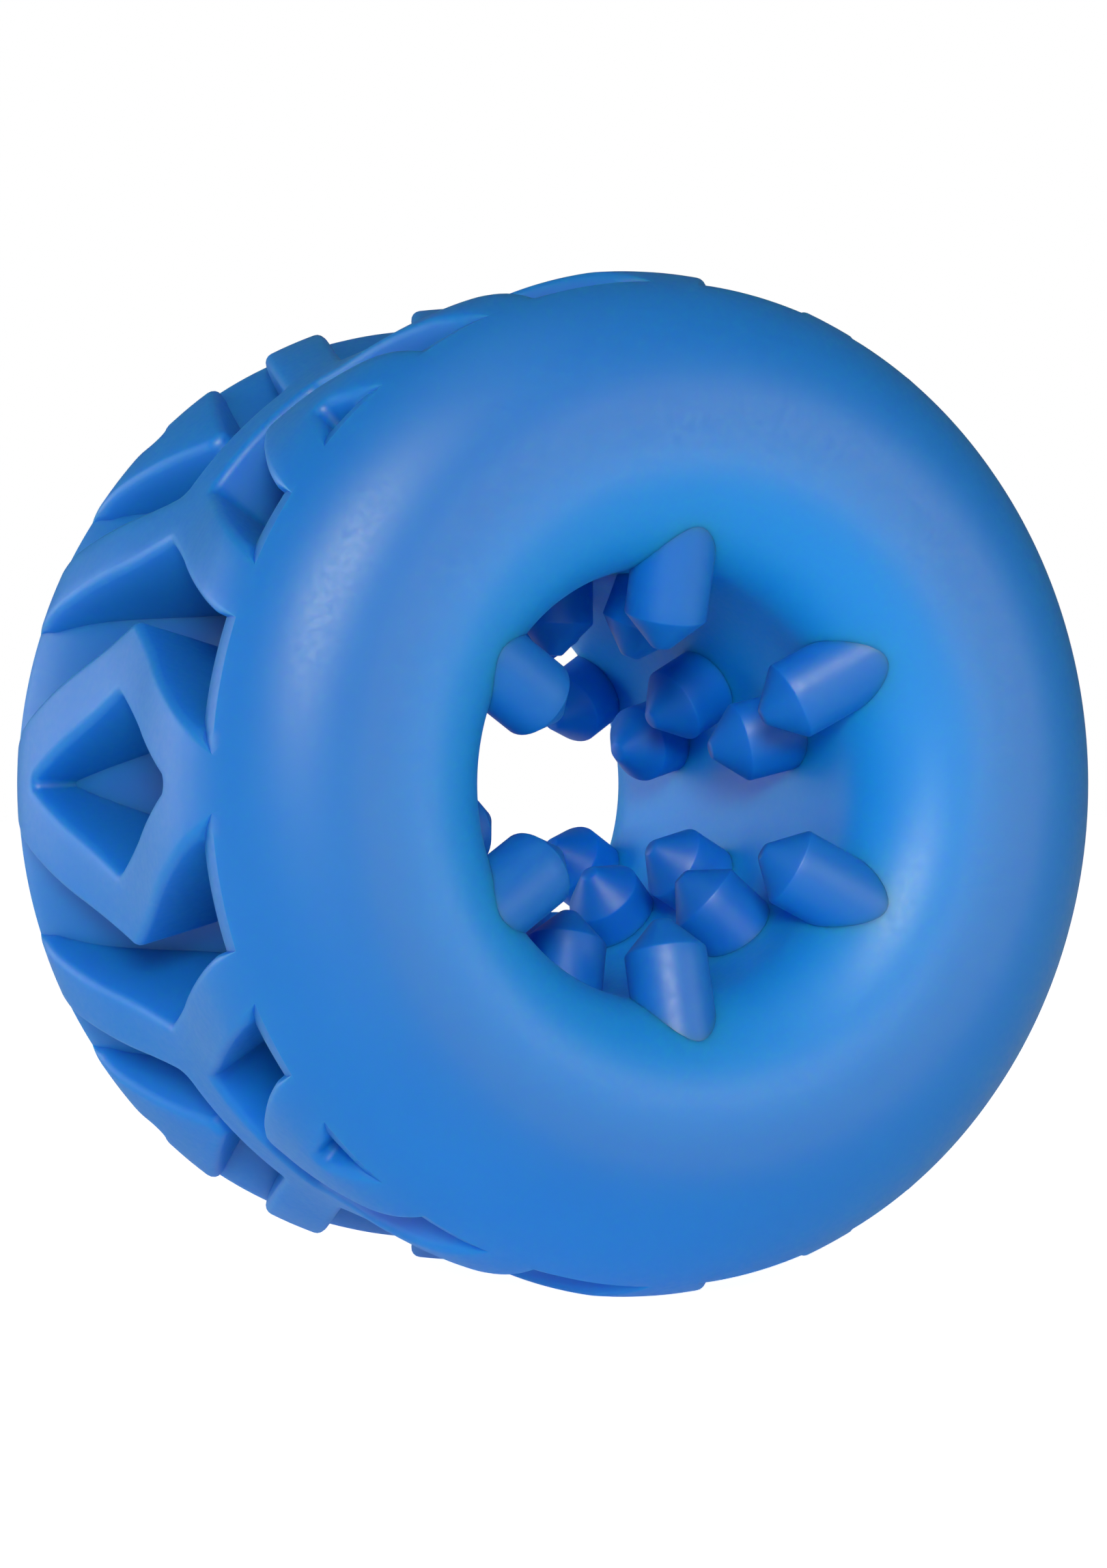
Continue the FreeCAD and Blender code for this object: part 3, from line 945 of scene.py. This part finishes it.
@dataclass
class Studio:
    """Floor, lamps and camera."""

    section: Section
    camera_azimuth: float = -27.92     # degrees from the front of the bore
    camera_distance: float = 8.5709    # in edge radii, from the middle of the ring
    lens: float = 93.55                # millimetres, on a 36 mm frame
    room: float = 0.10                 # strength of the light that the pale room gives from all round
    backdrop: float = 1.0              # brightness of the room itself
    floor_glow: float = 0.96           # brightness of the light table that the ring stands on
    floor_bounce: float = 0.22         # and the part of it that reaches the ring
    floor_half: float = 3.0            # metres, half the floor's width
    floor_roughness: float = 0.9
    boxes: tuple[SoftBox, ...] = (
        SoftBox("key_lamp", -31.0, 27.0, 3.8, "#fff8c8", 0.30, 0.60, wash=False),
        SoftBox("front_fill", -28.0, 14.0, 3.3, "#dcfaff", 0.20, 0.80, glint=False),
        SoftBox("left_rear_lamp", -132.0, 5.0, 0.60, "#f8f0fa", 0.32),
        SoftBox("ring_glint", 30.0, 4.0, 0.60, "#fff4d4", 0.26, wash=False),
        SoftBox("top_lamp", -28.0, 75.0, 0.05),
    )

    @staticmethod
    def towards(azimuth: float, elevation: float) -> Vector:
        """Unit vector from the ring's middle in a direction."""
        turn, rise = math.radians(azimuth), math.radians(elevation)
        return Vector((math.sin(turn) * math.cos(rise), -math.cos(turn) * math.cos(rise), math.sin(rise)))

    def build(self) -> None:
        """Make the camera, the lamps and the floor."""
        scene = bpy.context.scene
        camera = bpy.data.objects.new("camera", bpy.data.cameras.new("camera"))
        scene.collection.objects.link(camera)
        camera.data.lens = self.lens
        camera.data.clip_start = 0.01
        back = self.towards(self.camera_azimuth, 0.0)
        camera.location = back * (self.camera_distance * self.section.edge)
        camera.rotation_euler = (-back).to_track_quat("-Z", "Y").to_euler()
        scene.camera = camera
        for box in self.boxes:
            lamp = bpy.data.lights.new(box.name, "AREA")
            lamp.shape, lamp.size, lamp.energy = "DISK", box.size, box.power
            lamp.color = linear_colour(box.tint)[:3]
            holder = bpy.data.objects.new(box.name, lamp)
            out = self.towards(box.azimuth, box.elevation)
            holder.location = out * box.distance
            holder.rotation_euler = (-out).to_track_quat("-Z", "Y").to_euler()
            holder.visible_glossy = box.glint
            holder.visible_diffuse = box.wash
            scene.collection.objects.link(holder)
        world = bpy.data.worlds.new("pale_room")
        world.use_nodes = True
        nodes = world.node_tree
        seen = add_node(nodes, "ShaderNodeLightPath").outputs["Is Camera Ray"]
        strength = add_node(nodes, "ShaderNodeMapRange", inputs={0: seen, 3: self.room, 4: self.backdrop})
        background = nodes.nodes["Background"]
        background.inputs["Color"].default_value = linear_colour("#ffffff")
        nodes.links.new(strength.outputs[0], background.inputs["Strength"])
        scene.world = world
        scene.view_settings.view_transform = "Standard"
        self.build_floor()

    def build_floor(self) -> None:
        """Make a plain pale floor that the ring stands on."""
        half = self.floor_half
        level = -self.section.crest_r * self.section.edge
        corners = [(-half, -half, level), (half, -half, level), (half, half, level), (-half, half, level)]
        mesh = bpy.data.meshes.new("floor")
        mesh.from_pydata(corners, [], [(0, 1, 2, 3)])
        floor = link_object("floor", mesh)
        paint = bpy.data.materials.new("matt_white_floor")
        paint.use_nodes = True
        shader = paint.node_tree.nodes["Principled BSDF"]
        shader.inputs["Base Color"].default_value = linear_colour("#f7f7f7")
        shader.inputs["Roughness"].default_value = self.floor_roughness
        shader.inputs["Emission Color"].default_value = linear_colour("#ffffff")
        seen = add_node(paint.node_tree, "ShaderNodeLightPath").outputs["Is Camera Ray"]
        glow = add_node(paint.node_tree, "ShaderNodeMapRange",
                        inputs={0: seen, 3: self.floor_bounce, 4: self.floor_glow})
        paint.node_tree.links.new(glow.outputs[0], shader.inputs["Emission Strength"])
        mesh.materials.append(paint)
        floor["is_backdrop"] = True


def main(frame: dict, corners: tuple[Vector, Vector]) -> None:
    """Build the pieces and the studio round the frame.

    Args:
        corners: The frame's lowest and highest corner.
    """
    logging.basicConfig(level=logging.INFO, format="%(name)s: %(message)s")
    section = Section(edge=corners[1].z / Section.crest_r)
    LOG.info("edge radius %.2f mm", section.edge / MM)
    parents = {joint["child"]: joint["parent"] for joint in frame["joints"]}
    Studio(section).build()
    ring = MouldedRing(section, SatinElastomer("satin_tpe_ring")).build(frame["nodes"])
    LOG.info("%s: %d faces", ring.name, len(ring.data.polygons))
    # the nubs stand inside the bore, where the painted light colour covers them; here it is set close to
    # their body blue
    nub_finish = SatinElastomer("satin_tpe_nubs", body="#0a86d6", cloud="#0e8cda", glow="#0a82d8",
                                depth_mm=1.5)
    for nub in Nubs(section, nub_finish).build(parents):
        LOG.info("%s: %d faces", nub.name, len(nub.data.polygons))


if __name__ == "__main__":
    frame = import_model()
    cad_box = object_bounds()
    main(frame, cad_box)
